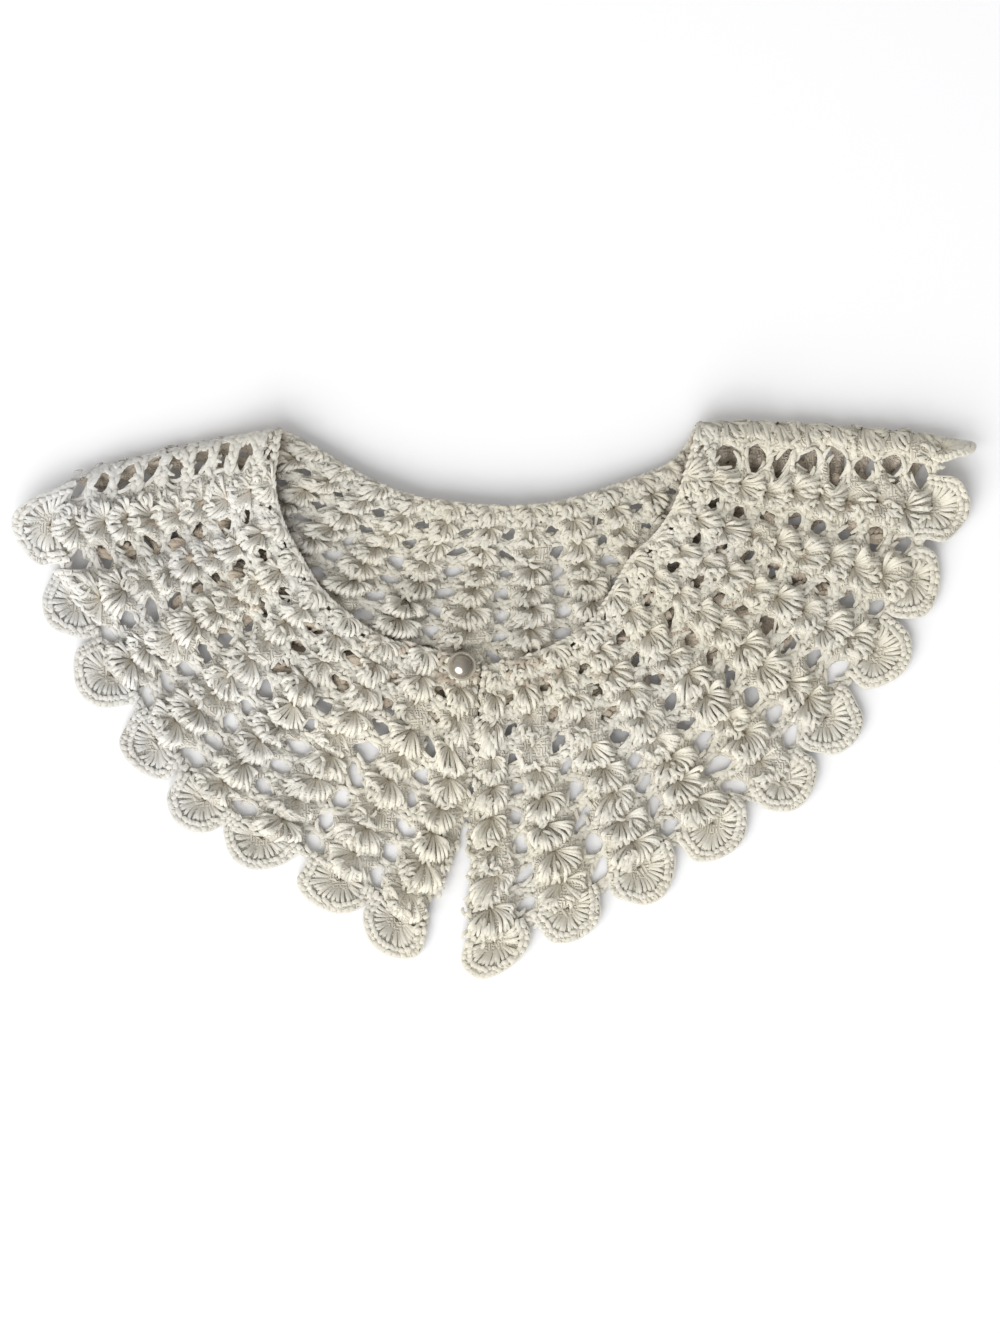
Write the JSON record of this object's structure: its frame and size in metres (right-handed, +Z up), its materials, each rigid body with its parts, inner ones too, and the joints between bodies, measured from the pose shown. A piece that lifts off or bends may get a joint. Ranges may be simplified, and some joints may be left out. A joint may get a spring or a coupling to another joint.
{
  "type": "lace collar",
  "caption": "Crocheted cotton cape collar of shell stitches with a scalloped hem and a pearl button at the throat, laid flat and folded at both shoulders.",
  "frame": {"origin": "middle of the laid collar's bounding box, at the surface that it lies on", "axes": "+X along the longest extent, from the front with the button towards the front with the loop; +Y from the front hem towards the back of the neck; +Z up from the surface, through the cloth's layers"},
  "size_m": [0.3424, 0.1986, 0.0129],
  "materials": {
    "cotton": "mercerised crochet cotton, soft sheen",
    "thread": "sewing thread",
    "pearl": "pearl, glossy"
  },
  "bodies": {
    "root": {"left_front": "cotton", "back": "cotton", "right_front": "cotton", "neck_edging": "cotton", "button": "pearl", "button_shank": "thread", "button_loop": "cotton"}
  },
  "joints": []
}
